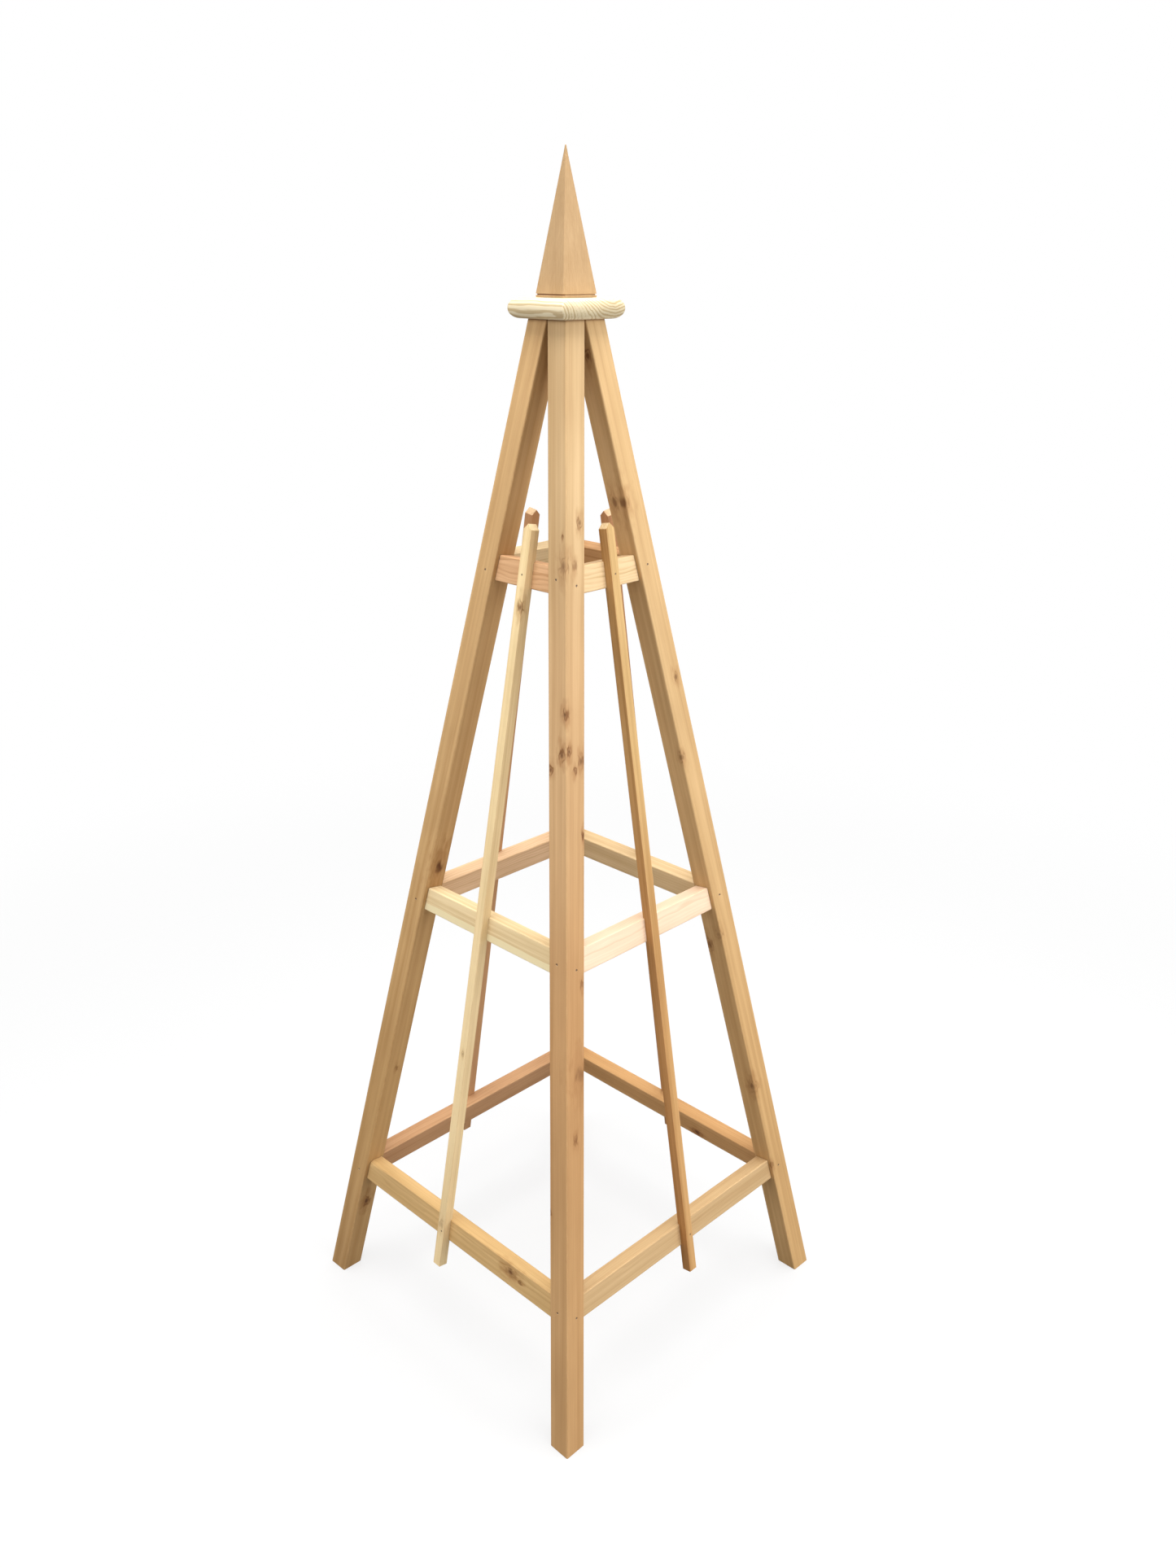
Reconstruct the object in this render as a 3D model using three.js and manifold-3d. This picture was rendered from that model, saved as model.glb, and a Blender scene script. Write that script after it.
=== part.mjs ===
// Garden obelisk: four leaning square legs under a collar and a pyramid finial, braced by three
// tiers of rails, with one climbing slat up the middle of each side.
// Millimetres, +Z up. The origin is on the ground at the centre of the four feet. The sides face
// along X and Y, and the front side faces -Y.
import * as THREE from "three";
import { mergeVertices } from "three/addons/utils/BufferGeometryUtils.js";
import Module from "manifold-3d";

const wasm = await Module();
wasm.setup();

// Driving dimensions.
const BASE = 609.6; // footprint over the outer corners of the feet
const HEIGHT = 1828.8; // ground to the tip of the finial
const NECK = 75; // width over the legs' outer corners where they meet the collar
const GAP = 0.3; // clearance wherever two pieces meet

const LEG = { side: 36.5, ease: 2.2 };
const RAIL = { height: 38.1, thickness: 25.4, setback: 7.5, ease: 1.6 };
const TIERS = { lower: 216, middle: 740, upper: 1273 }; // heights of the rails' middle lines
const SLAT = { side: 15.9, foot: 153, top: 1345, housing: 3.2 };
// The collar and the finial sit a few degrees out of square, turned by hand as they were fixed.
const COLLAR = { width: 115, thickness: 27, nose: 13, turn: -2.3 };
const FINIAL = { width: 59.2, height: 188.6, plinth: 3.2, groove: 1.6, grooveDepth: 1.4, turn: -4.5 };

// The four sides, as quarter turns from the front. Each slat stands a little out of the middle,
// by `foot` at its lower end and by `top` at its upper end.
const SIDES = [
  { name: "front", corner: "front_right", foot: -19.5, top: 11.5 },
  { name: "right", corner: "back_right", foot: 6.5, top: -1.5 },
  { name: "back", corner: "back_left", foot: 8, top: -4 },
  { name: "left", corner: "front_left", foot: 10, top: -7 },
];

// Fasteners: shank and head are radii, rim and taper are the head's straight and sloped heights,
// and sunk is how far the head sits below the surface.
const RAIL_NAIL = { length: 64, shank: 1, head: 1.5, rim: 1.2, taper: 0.4, tip: 4, sunk: 0.6 };
const SLAT_BRAD = { length: 30, shank: 0.8, head: 1.2, rim: 0.9, taper: 0.3, tip: 3, sunk: 0.4 };
const COLLAR_SCREW = { length: 50, shank: 2, head: 4, rim: 0.6, taper: 2.8, tip: 6, sunk: 0.5 };
const DOWEL_SCREW = { length: 56, shank: 3, point: 5, inCollar: 22 };
const OPEN_ABOVE = 2; // how far the hole for a head runs on past the surface
// The two nails that cross inside a leg pass at different heights.
const NAIL_RISE = { right: -2, left: 6 };

// Colours.
const HONEY_CEDAR = 0xd3a873;
const PINK_CEDAR = 0xd7a482;
const PALE_CEDAR = 0xecd0a0;
const CREAM_PINE = 0xe9cf9f;
const STEEL = 0x8f8d88;

// Derived dimensions.
const HALF_BASE = BASE / 2;
const COLLAR_TOP = HEIGHT - FINIAL.height;
const COLLAR_UNDERSIDE = COLLAR_TOP - COLLAR.thickness;
const RUN_PER_RISE = (BASE - NECK) / 2 / COLLAR_UNDERSIDE;
const SIDE_LEAN = Math.atan(RUN_PER_RISE); // lean of a side of the pyramid
const HIP_LEAN = Math.atan(RUN_PER_RISE * Math.SQRT2); // lean of a leg, along the diagonal
const QUARTER = Math.PI / 2;
const FASTENER_SIDES = 8;

// A closed geometry as a solid that can be cut.
function solidOf(geometry) {
  const bare = geometry.clone();
  bare.deleteAttribute("normal");
  bare.deleteAttribute("uv");
  const merged = mergeVertices(bare, 1e-4);
  return new wasm.Manifold(
    new wasm.Mesh({
      numProp: 3,
      vertProperties: new Float32Array(merged.attributes.position.array),
      triVerts: new Uint32Array(merged.index.array),
    }),
  );
}

// A solid as a geometry with flat faces.
function geometryOf(solid) {
  const mesh = solid.getMesh();
  const indexed = new THREE.BufferGeometry();
  indexed.setAttribute("position", new THREE.BufferAttribute(mesh.vertProperties, 3));
  indexed.setIndex(new THREE.BufferAttribute(mesh.triVerts, 1));
  const flat = indexed.toNonIndexed();
  flat.computeVertexNormals();
  return flat;
}

// A geometry given in another object's frame, moved into this mesh's frame.
function intoFrameOf(mesh, geometry, frame) {
  const toMesh = mesh.matrixWorld.clone().invert().multiply(frame);
  return solidOf(geometry.clone().applyMatrix4(toMesh));
}

// Cuts out of a mesh the room that its neighbours and fasteners need.
function carve(mesh, neighbours) {
  let body = solidOf(mesh.geometry);
  for (const neighbour of neighbours) {
    const room = neighbour.userData.room;
    body = body.subtract(intoFrameOf(mesh, room, neighbour.matrixWorld));
  }
  mesh.geometry = geometryOf(body);
}

// Saws a mesh off level at two heights above the ground.
function sawBetween(mesh, low, high) {
  const slab = new THREE.BoxGeometry(2 * BASE, 2 * BASE, high - low);
  slab.translate(0, 0, (low + high) / 2);
  const kept = solidOf(mesh.geometry).intersect(intoFrameOf(mesh, slab, new THREE.Matrix4()));
  mesh.geometry = geometryOf(kept);
}

function piece(name, geometry, colour, room) {
  const isSteel = colour === STEEL;
  const material = new THREE.MeshStandardMaterial({
    color: colour,
    roughness: isSteel ? 0.4 : 0.7,
    metalness: isSteel ? 1 : 0,
  });
  const mesh = new THREE.Mesh(geometry, material);
  mesh.name = name;
  mesh.userData.room = room;
  return mesh;
}

// A rectangle about the origin with rounded corners.
function easedRectangle(width, height, ease) {
  const x = width / 2 - ease;
  const y = height / 2 - ease;
  const outline = new THREE.Shape();
  outline.absarc(x, y, ease, 0, QUARTER);
  outline.absarc(-x, y, ease, QUARTER, 2 * QUARTER);
  outline.absarc(-x, -y, ease, 2 * QUARTER, 3 * QUARTER);
  outline.absarc(x, -y, ease, 3 * QUARTER, 4 * QUARTER);
  outline.closePath();
  return outline;
}

// A bar along Z with the given outline, from start to end.
function bar(outline, start, end) {
  const geometry = new THREE.ExtrudeGeometry(outline, {
    depth: end - start,
    bevelEnabled: false,
    curveSegments: 2,
  });
  geometry.translate(0, 0, start);
  return geometry;
}

// A leg before it is sawn: its outer corner runs up the Z axis and it lies towards -X.
function legBar(margin) {
  const side = LEG.side + 2 * margin;
  const spare = LEG.side;
  const end = COLLAR_UNDERSIDE / Math.cos(HIP_LEAN) + spare;
  const geometry = bar(easedRectangle(side, side, LEG.ease), -spare, end);
  geometry.rotateZ(QUARTER / 2);
  geometry.translate(-LEG.side / Math.SQRT2, 0, 0);
  return geometry;
}

// A rail before its ends are cut, along X about the origin.
function railBar(length) {
  const outline = easedRectangle(RAIL.thickness, RAIL.height, RAIL.ease);
  const geometry = bar(outline, -length / 2, length / 2);
  geometry.rotateY(QUARTER);
  return geometry;
}

// A slat standing on the origin along Y, with its back at z = 0 and a pointed top.
function slatBar(length, margin) {
  const half = SLAT.side / 2 + margin;
  const outline = new THREE.Shape();
  outline.moveTo(-half, -margin);
  outline.lineTo(half, -margin);
  outline.lineTo(half, length - SLAT.side / 2);
  outline.lineTo(0, length + margin);
  outline.lineTo(-half, length - SLAT.side / 2);
  outline.closePath();
  return bar(outline, -margin, SLAT.side + margin);
}

// The square collar, its edges rounded over from the top face to the underside so that they meet
// in mitres at the corners.
function collarBlock() {
  const flat = COLLAR.width / 2 - COLLAR.nose;
  const outline = new THREE.Shape();
  outline.moveTo(flat, flat);
  outline.lineTo(-flat, flat);
  outline.lineTo(-flat, -flat);
  outline.lineTo(flat, -flat);
  outline.closePath();
  const geometry = new THREE.ExtrudeGeometry(outline, {
    depth: COLLAR.thickness - 2 * COLLAR.nose,
    bevelThickness: COLLAR.nose,
    bevelSize: COLLAR.nose,
    bevelSegments: 5,
  });
  geometry.translate(0, 0, COLLAR.nose);
  return geometry;
}

// A body of revolution about Z from (radius, height) pairs, bottom first.
function turned(profile, sides) {
  const points = profile.map(([radius, height]) => new THREE.Vector2(radius, height));
  const geometry = new THREE.LatheGeometry(points, sides);
  geometry.rotateX(QUARTER);
  return geometry;
}

// The finial: a low plinth, a thin groove round it, and a tall four-sided pyramid.
function finialBlock() {
  const edge = FINIAL.width / Math.SQRT2;
  const grooved = (FINIAL.width - 2 * FINIAL.grooveDepth) / Math.SQRT2;
  const grooveTop = FINIAL.plinth + FINIAL.groove;
  const profile = [
    [0, GAP],
    [edge, GAP],
    [edge, FINIAL.plinth],
    [grooved, FINIAL.plinth],
    [grooved, grooveTop],
    [edge, grooveTop],
    [0, FINIAL.height],
  ];
  const geometry = turned(profile, 4);
  geometry.rotateZ(QUARTER / 2);
  return geometry;
}

// A nail or screw driven along -Z from the origin. A margin makes the room it needs, which is
// open above the head.
function driven(size, margin) {
  const top = margin > 0 ? OPEN_ABOVE : -size.sunk;
  const underRim = -size.sunk - size.rim - margin;
  const profile = [
    [0, -size.length - margin],
    [size.shank + margin, -size.length + size.tip - margin],
    [size.shank + margin, underRim - size.taper],
    [size.head + margin, underRim],
    [size.head + margin, top],
    [0, top],
  ];
  return turned(profile, FASTENER_SIDES);
}

// A headless screw pointed at both ends, standing on the origin.
function dowelScrew(margin) {
  const length = DOWEL_SCREW.length;
  const profile = [
    [0, -margin],
    [DOWEL_SCREW.shank + margin, DOWEL_SCREW.point],
    [DOWEL_SCREW.shank + margin, length - DOWEL_SCREW.point],
    [0, length + margin],
  ];
  return turned(profile, FASTENER_SIDES);
}

function fastener(name, size) {
  return piece(name, driven(size, 0), STEEL, driven(size, GAP));
}

// Distance up a side's slope of a point at height z, `out` proud of the plane of the side.
function upSlope(z, out) {
  return (z - out * Math.sin(SIDE_LEAN)) / Math.cos(SIDE_LEAN);
}

// How far from the middle of a side the legs' outer end faces are, at a point of that side.
function outerFaceAt(slope, out) {
  const inward = slope * Math.sin(SIDE_LEAN) - out * Math.cos(SIDE_LEAN);
  const z = slope * Math.cos(SIDE_LEAN) + out * Math.sin(SIDE_LEAN);
  const cosHip = Math.cos(HIP_LEAN);
  const fall = (inward * (1 - cosHip)) / 2 + (z * Math.sin(HIP_LEAN)) / Math.SQRT2;
  return HALF_BASE - (2 * fall) / (1 + cosHip);
}

function buildRail(tier, side, plane) {
  const middle = -RAIL.setback - RAIL.thickness / 2;
  const slope = upSlope(TIERS[tier], -RAIL.setback);
  const reach = outerFaceAt(slope, middle);
  const name = tier + "_" + side.name;
  const colour = { lower: HONEY_CEDAR, middle: PALE_CEDAR, upper: PINK_CEDAR }[tier];
  const rail = piece("rail_" + name, railBar(2 * reach - LEG.side), colour);
  rail.position.set(0, slope, middle);
  plane.add(rail);

  const nails = {};
  for (const end of ["left", "right"]) {
    const sign = end === "right" ? 1 : -1;
    const rise = slope + NAIL_RISE[end];
    const nail = fastener("rail_nail_" + name + "_" + end, RAIL_NAIL);
    nail.position.set(sign * outerFaceAt(rise, middle), rise, middle);
    nail.rotation.y = sign * QUARTER;
    plane.add(nail);
    nails[end] = nail;
  }
  return { rail, nails, slope };
}

function buildSlat(side, plane, rails) {
  const back = -RAIL.setback - SLAT.housing;
  const foot = upSlope(SLAT.foot, 0);
  const length = upSlope(SLAT.top, 0) - foot;
  const slat = piece("slat_" + side.name, slatBar(length, 0), PALE_CEDAR, slatBar(length, GAP));
  slat.position.set(side.foot, foot, back);
  slat.rotation.z = -Math.atan2(side.top - side.foot, length);
  plane.add(slat);

  const brads = {};
  for (const tier of ["lower", "upper"]) {
    const slope = rails[tier].slope;
    const share = (slope - foot) / length;
    const brad = fastener("slat_brad_" + tier + "_" + side.name, SLAT_BRAD);
    brad.position.set(side.foot + (side.top - side.foot) * share, slope, back + SLAT.side);
    plane.add(brad);
    brads[tier] = brad;
  }
  return { slat, brads };
}

// The leg at a side's right-hand corner, with the screw that holds the collar to its top.
function buildCorner(side, group) {
  const hip = new THREE.Group();
  hip.position.set(HALF_BASE, -HALF_BASE, 0);
  hip.rotation.z = -QUARTER / 2;
  const leg = piece("leg_" + side.corner, legBar(0), HONEY_CEDAR, legBar(GAP));
  leg.rotation.y = -HIP_LEAN;
  hip.add(leg);
  group.add(hip);

  const screw = fastener("collar_screw_" + side.corner, COLLAR_SCREW);
  const centre = NECK / 2 - LEG.side / 2 / Math.cos(HIP_LEAN);
  screw.position.set(centre, -centre, COLLAR_TOP);
  group.add(screw);
  return { leg, screw };
}

// One side of the pyramid, drawn upright, leaned in about its foot and turned to its place.
function buildSide(side, index) {
  const group = new THREE.Group();
  group.rotation.z = index * QUARTER;
  const plane = new THREE.Group();
  plane.position.y = -HALF_BASE;
  plane.rotation.x = QUARTER - SIDE_LEAN;
  group.add(plane);

  const rails = {};
  for (const tier of Object.keys(TIERS)) rails[tier] = buildRail(tier, side, plane);
  return { group, rails, ...buildSlat(side, plane, rails), ...buildCorner(side, group) };
}

const obelisk = new THREE.Group();
const sides = SIDES.map(buildSide);
for (const side of sides) obelisk.add(side.group);

const collar = piece("collar", collarBlock(), CREAM_PINE);
collar.position.z = COLLAR_UNDERSIDE;
collar.rotation.z = THREE.MathUtils.degToRad(COLLAR.turn);
const finial = piece("finial", finialBlock(), PINK_CEDAR);
finial.position.z = COLLAR_TOP;
finial.rotation.z = THREE.MathUtils.degToRad(FINIAL.turn);
const dowel = piece("finial_dowel_screw", dowelScrew(0), STEEL, dowelScrew(GAP));
dowel.position.z = COLLAR_TOP - DOWEL_SCREW.inCollar;
obelisk.add(collar, finial, dowel);
obelisk.updateMatrixWorld(true);

sides.forEach((side, index) => {
  const leftNeighbour = sides[(index + 3) % 4];
  const rightNeighbour = sides[(index + 1) % 4];
  for (const tier of Object.keys(TIERS)) {
    const { rail, nails } = side.rails[tier];
    const cutters = [side.leg, leftNeighbour.leg, side.slat, nails.left, nails.right];
    if (side.brads[tier]) cutters.push(side.brads[tier]);
    carve(rail, cutters);
  }
  carve(side.slat, Object.values(side.brads));
  const legFasteners = [side.screw];
  for (const { nails } of Object.values(side.rails)) legFasteners.push(nails.right);
  for (const { nails } of Object.values(rightNeighbour.rails)) legFasteners.push(nails.left);
  sawBetween(side.leg, 0, COLLAR_UNDERSIDE - GAP);
  carve(side.leg, legFasteners);
});
carve(collar, [dowel, ...sides.map((side) => side.screw)]);
carve(finial, [dowel]);

export default obelisk;
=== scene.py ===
"""Garden obelisk in planed cedar: four leaning legs, three tiers of rails, a climbing slat on each
side, a bullnosed collar and a pyramid finial.

Every piece is rebuilt in a frame of its own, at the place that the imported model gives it, and the
legs, rails, slats and nails lie along the X of theirs. Metres, +Z up. Sides are numbered by quarter
turns from the front, which faces -Y, and leg number n stands at the right-hand end of side n.
"""

import math

import bmesh
import bpy
from mathutils import Matrix, Vector, noise


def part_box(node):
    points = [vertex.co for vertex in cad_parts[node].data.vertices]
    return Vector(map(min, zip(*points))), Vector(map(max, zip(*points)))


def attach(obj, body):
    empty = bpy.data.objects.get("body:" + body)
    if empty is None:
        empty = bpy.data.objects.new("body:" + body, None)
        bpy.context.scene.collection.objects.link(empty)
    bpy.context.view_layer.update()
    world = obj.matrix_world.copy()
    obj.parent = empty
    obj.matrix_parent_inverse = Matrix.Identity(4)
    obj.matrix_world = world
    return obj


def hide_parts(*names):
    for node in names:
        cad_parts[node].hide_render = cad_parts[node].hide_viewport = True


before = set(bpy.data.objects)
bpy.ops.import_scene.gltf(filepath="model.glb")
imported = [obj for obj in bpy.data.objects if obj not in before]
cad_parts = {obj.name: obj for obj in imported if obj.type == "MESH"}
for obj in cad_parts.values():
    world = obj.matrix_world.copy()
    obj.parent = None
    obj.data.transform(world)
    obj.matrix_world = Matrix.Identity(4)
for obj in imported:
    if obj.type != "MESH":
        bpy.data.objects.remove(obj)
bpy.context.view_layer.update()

MM = 0.001
QUARTER = math.pi / 2

# ---- The object -------------------------------------------------------------------------------

BASE = 0.6096  # footprint over the outer corners of the feet
NECK = 0.075  # width over the legs' outer corners where they meet the collar
LEG_SIDE = 0.0365
RAIL_THICKNESS = 0.0254
RAIL_HEIGHT = 0.0381
SLAT_SIDE = 0.0159
GAP = 0.0003  # clearance wherever two pieces meet

LEG_EASE = 0.0022
RAIL_EASE = 0.0017
SLAT_EASE = 0.0008
END_EASE = 0.0004  # chamfer round the sawn ends
EASE_WANDER = 0.25  # share of its radius by which an eased edge wanders
LEAST_RADIUS = 0.0001  # of an edge that counts as sharp
FLAT_WITHIN = 0.00002  # a nail's head whose rim is this close to its top is a flat one
COLLAR_NOSE = 0.013  # radius of its rounded edge
COLLAR_CORNER = 0.002  # easing of its four corners
COLLAR_TURN = math.radians(-2.3)  # out of square with the feet
FINIAL_TURN = math.radians(-4.5)
FINIAL_EASE = 0.0009  # of the pyramid's edges
FINIAL_SOFT = 0.00025  # easing of the edges of its plinth
FINIAL_TIP = 0.0007  # half width of its blunted tip
FINIAL_GROOVE = 0.0014  # depth of the groove above the plinth
OPEN_ABOVE = 0.002  # how far the hole for a nail's head runs on past the surface
HEAD_CROWN = 0.00012  # how far a nail's head bulges
HEAD_RISE = 0.0003  # of a nail's head above the CAD one, so that its hole is shallow

SIDES = ("front", "right", "back", "left")
CORNERS = ("front_right", "back_right", "back_left", "front_left")
TIERS = ("lower", "middle", "upper")

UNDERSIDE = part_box("collar")[0].z
COLLAR_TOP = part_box("collar")[1].z
RUN_PER_RISE = (BASE - NECK) / 2 / UNDERSIDE
SIDE_LEAN = math.atan(RUN_PER_RISE)
HIP_LEAN = math.atan(RUN_PER_RISE * math.sqrt(2))


# ---- Frames -----------------------------------------------------------------------------------

def from_axes(x, y, z, origin):
    matrix = Matrix((x, y, z)).transposed().to_4x4()
    matrix.translation = origin
    return matrix


def turned_to(side):
    return Matrix.Rotation(side * QUARTER, 4, "Z")


def side_frame(side):
    """The plane of a side: X to the right, Y inwards, Z up the slope, from the ground."""
    foot = Matrix.Translation((0, -BASE / 2, 0))
    return turned_to(side) @ foot @ Matrix.Rotation(-SIDE_LEAN, 4, "X")


def leg_frame(number):
    """X up the middle of a leg, Y out of its own side, Z out of the next side."""
    radial = Vector((1, -1, 0)).normalized()
    across = Vector((1, 1, 0)).normalized()
    up = Vector((0, 0, 1))
    along = up * math.cos(HIP_LEAN) - radial * math.sin(HIP_LEAN)
    edge = radial * math.cos(HIP_LEAN) + up * math.sin(HIP_LEAN)
    y = (edge - across).normalized()
    z = (edge + across).normalized()
    origin = Vector((BASE / 2, -BASE / 2, 0)) - (y + z) * LEG_SIDE / 2
    return turned_to(number) @ from_axes(along, y, z, origin)


def points_of(node, matrix):
    """The vertices of a CAD node in the given frame."""
    inverse = matrix.inverted()
    return [inverse @ vertex.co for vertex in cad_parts[node].data.vertices]


def extent(node, matrix):
    """Lowest and highest corner of a CAD node in the given frame."""
    points = points_of(node, matrix)
    low = Vector([min(p[axis] for p in points) for axis in range(3)])
    high = Vector([max(p[axis] for p in points) for axis in range(3)])
    return low, high


def middle_of(points):
    return sum(points, Vector()) / len(points)


# ---- Mesh builders ----------------------------------------------------------------------------

CORNER_STEPS = 5


def rounded_rectangle(width, height, radii):
    """(y, z) points anticlockwise from +Y, with a point in the middle of each Y face. The radii
    are those of the corners (+y +z), (-y +z), (-y -z) and (+y -z)."""
    signs = ((1, 1), (-1, 1), (-1, -1), (1, -1))
    outline = [(width / 2, 0)]
    for corner, ((sign_y, sign_z), radius) in enumerate(zip(signs, radii)):
        for step in range(CORNER_STEPS + 1):
            angle = (corner + step / CORNER_STEPS) * QUARTER
            y = sign_y * (width / 2 - radius) + radius * math.cos(angle)
            z = sign_z * (height / 2 - radius) + radius * math.sin(angle)
            outline.append((y, z))
        if corner == 1:
            outline.append((-width / 2, 0))
    return outline


def skin(mesh, rings):
    """Joins rings of vertices into a tube."""
    for ring, following in zip(rings, rings[1:]):
        for i in range(len(ring)):
            j = (i + 1) % len(ring)
            mesh.faces.new((ring[i], ring[j], following[j], following[i]))


def bar(width, height, radii, start, end, stations):
    """A bar along X. start and end give the X of a section point at the two ends, and
    radii(share) the corner radii part of the way along."""
    mesh = bmesh.new()
    rings = []

    def add_ring(share, inset, shift):
        corners = [max(radius - inset, LEAST_RADIUS) for radius in radii(share)]
        ring = []
        for y, z in rounded_rectangle(width - 2 * inset, height - 2 * inset, corners):
            low, high = start(y, z) + shift, end(y, z) - shift
            ring.append(mesh.verts.new((low + (high - low) * share, y, z)))
        rings.append(ring)

    add_ring(0, END_EASE, 0)
    for station in range(stations + 1):
        add_ring(station / stations, 0, END_EASE)
    add_ring(1, END_EASE, 0)
    skin(mesh, rings)
    half = len(rings[0]) // 2
    for ring in (rings[0], rings[-1]):
        mesh.faces.new(ring[: half + 1])
        mesh.faces.new(ring[half:] + ring[:1])
    bmesh.ops.recalc_face_normals(mesh, faces=mesh.faces)
    return mesh


def planed_edges(ease, seed):
    """Corner radii for a bar whose edges were eased by hand: each wanders a little."""
    def radii(share):
        wander = [noise.noise((seed * 7.3 + corner, share * 9, seed)) for corner in range(4)]
        return [ease * (1 + EASE_WANDER * value) for value in wander]
    return radii


def sharp_edges(share):
    return [LEAST_RADIUS] * 4


def stack(levels):
    """A closed body from rounded squares about Z, given as (height, half width, radius)."""
    mesh = bmesh.new()
    rings = []
    for height, half, radius in levels:
        outline = rounded_rectangle(2 * half, 2 * half, [radius] * 4)
        rings.append([mesh.verts.new((x, y, height)) for x, y in outline])
    skin(mesh, rings)
    mesh.faces.new(rings[0])
    mesh.faces.new(rings[-1])
    bmesh.ops.recalc_face_normals(mesh, faces=mesh.faces)
    return mesh


ROUND_SIDES = 24


def lathe(profile):
    """A closed body about X from (distance, radius) pairs. The first and last are on the axis."""
    mesh = bmesh.new()
    rings = []
    for distance, radius in profile[1:-1]:
        ring = []
        for step in range(ROUND_SIDES):
            angle = step / ROUND_SIDES * math.tau
            ring.append(mesh.verts.new((distance, radius * math.cos(angle), radius * math.sin(angle))))
        rings.append(ring)
    skin(mesh, rings)
    for (distance, _), ring in ((profile[0], rings[0]), (profile[-1], rings[-1])):
        pole = mesh.verts.new((distance, 0, 0))
        for i in range(ROUND_SIDES):
            mesh.faces.new((pole, ring[i], ring[(i + 1) % ROUND_SIDES]))
    bmesh.ops.recalc_face_normals(mesh, faces=mesh.faces)
    return mesh


def object_of(name, mesh, matrix):
    data = bpy.data.meshes.new(name)
    mesh.to_mesh(data)
    mesh.free()
    made = bpy.data.objects.new(name, data)
    made.matrix_world = matrix
    bpy.context.scene.collection.objects.link(made)
    return made


def cut(piece, cutters):
    """Takes the cutters' room out of a piece."""
    for cutter in cutters:
        modifier = piece.modifiers.new("cut", "BOOLEAN")
        modifier.operation = "DIFFERENCE"
        modifier.solver = "EXACT"
        modifier.object = cutter
    bpy.context.view_layer.update()
    graph = bpy.context.evaluated_depsgraph_get()
    whole = piece.data
    carved = bpy.data.meshes.new_from_object(piece.evaluated_get(graph))
    piece.modifiers.clear()
    piece.data = carved
    bpy.data.meshes.remove(whole)
    carved.name = piece.name


SHARP_ABOVE = math.radians(34)


def finish_piece(piece, node, material, order=(0, 1, 2), ends=None):
    """Gives a piece its shading, its material and its body, and its points two attributes: place,
    the coordinates in mm for the grain, whose first axis runs along it, and ending, the distance
    in mm from the nearer butted end."""
    data = piece.data
    data.polygons.foreach_set("use_smooth", [True] * len(data.polygons))
    data.set_sharp_from_angle(angle=SHARP_ABOVE)
    data.attributes.new("place", "FLOAT_VECTOR", "POINT")
    data.attributes.new("ending", "FLOAT", "POINT")
    place = data.attributes["place"]
    ending = data.attributes["ending"]
    for vertex in data.vertices:
        point = vertex.co
        place.data[vertex.index].vector = [point[axis] / MM for axis in order]
        distance = 1.0
        if ends:
            distance = min(point.x - ends[0](point.y, point.z), ends[1](point.y, point.z) - point.x)
        ending.data[vertex.index].value = distance / MM
    data.transform(piece.matrix_world)
    piece.matrix_world = Matrix.Identity(4)
    piece.modifiers.new("normals", "WEIGHTED_NORMAL").keep_sharp = True
    data.materials.clear()
    data.materials.append(material)
    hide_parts(node)
    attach(piece, "root")


# ---- Nodes ------------------------------------------------------------------------------------

class Graph:
    """Short calls for wiring the nodes of one tree."""

    def __init__(self, tree):
        self.tree = tree

    def feed(self, socket, value):
        if isinstance(value, bpy.types.NodeSocket):
            self.tree.links.new(value, socket)
        else:
            socket.default_value = value

    def add(self, kind, inputs=None, **settings):
        made = self.tree.nodes.new(kind)
        for name, value in settings.items():
            setattr(made, name, value)
        for name, value in (inputs or {}).items():
            self.feed(made.inputs[name], value)
        return made

    def math(self, operation, *values):
        made = self.add("ShaderNodeMath", operation=operation)
        for socket, value in zip(made.inputs, values):
            self.feed(socket, value)
        return made.outputs[0]

    def vector(self, operation, *values):
        made = self.add("ShaderNodeVectorMath", operation=operation)
        for socket, value in zip(made.inputs, values):
            self.feed(socket, value)
        return made.outputs["Value" if operation in ("LENGTH", "DOT_PRODUCT") else "Vector"]

    def scaled(self, vector, factor):
        made = self.add("ShaderNodeVectorMath", operation="SCALE")
        self.feed(made.inputs[0], vector)
        self.feed(made.inputs["Scale"], factor)
        return made.outputs["Vector"]

    def step(self, value, low, high):
        """A smooth step from 0 at low to 1 at high."""
        made = self.add("ShaderNodeMapRange", interpolation_type="SMOOTHSTEP")
        for name, given in (("Value", value), ("From Min", low), ("From Max", high)):
            self.feed(made.inputs[name], given)
        return made.outputs["Result"]

    def noise(self, vector, stretch, detail=2.0, roughness=0.5):
        """Noise between 0 and 1 whose features are about as long as stretch says, in mm."""
        shrunk = self.vector("DIVIDE", vector, stretch)
        inputs = {"Vector": shrunk, "Scale": 1.0, "Detail": detail, "Roughness": roughness}
        return self.add("ShaderNodeTexNoise", inputs).outputs[0]

    def mix(self, share, first, second, blend="MIX"):
        made = self.add("ShaderNodeMix", data_type="RGBA", blend_type=blend)
        colours = [socket for socket in made.inputs if socket.type == "RGBA"]
        self.feed(made.inputs["Factor"], share)
        self.feed(colours[0], first)
        self.feed(colours[1], second)
        return [socket for socket in made.outputs if socket.type == "RGBA"][0]

    def spread(self, value, share):
        """Moves a 0..1 value to 1 - share .. 1 + share, as a factor."""
        return self.math("MULTIPLY_ADD", value, 2 * share, 1 - share)


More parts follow.
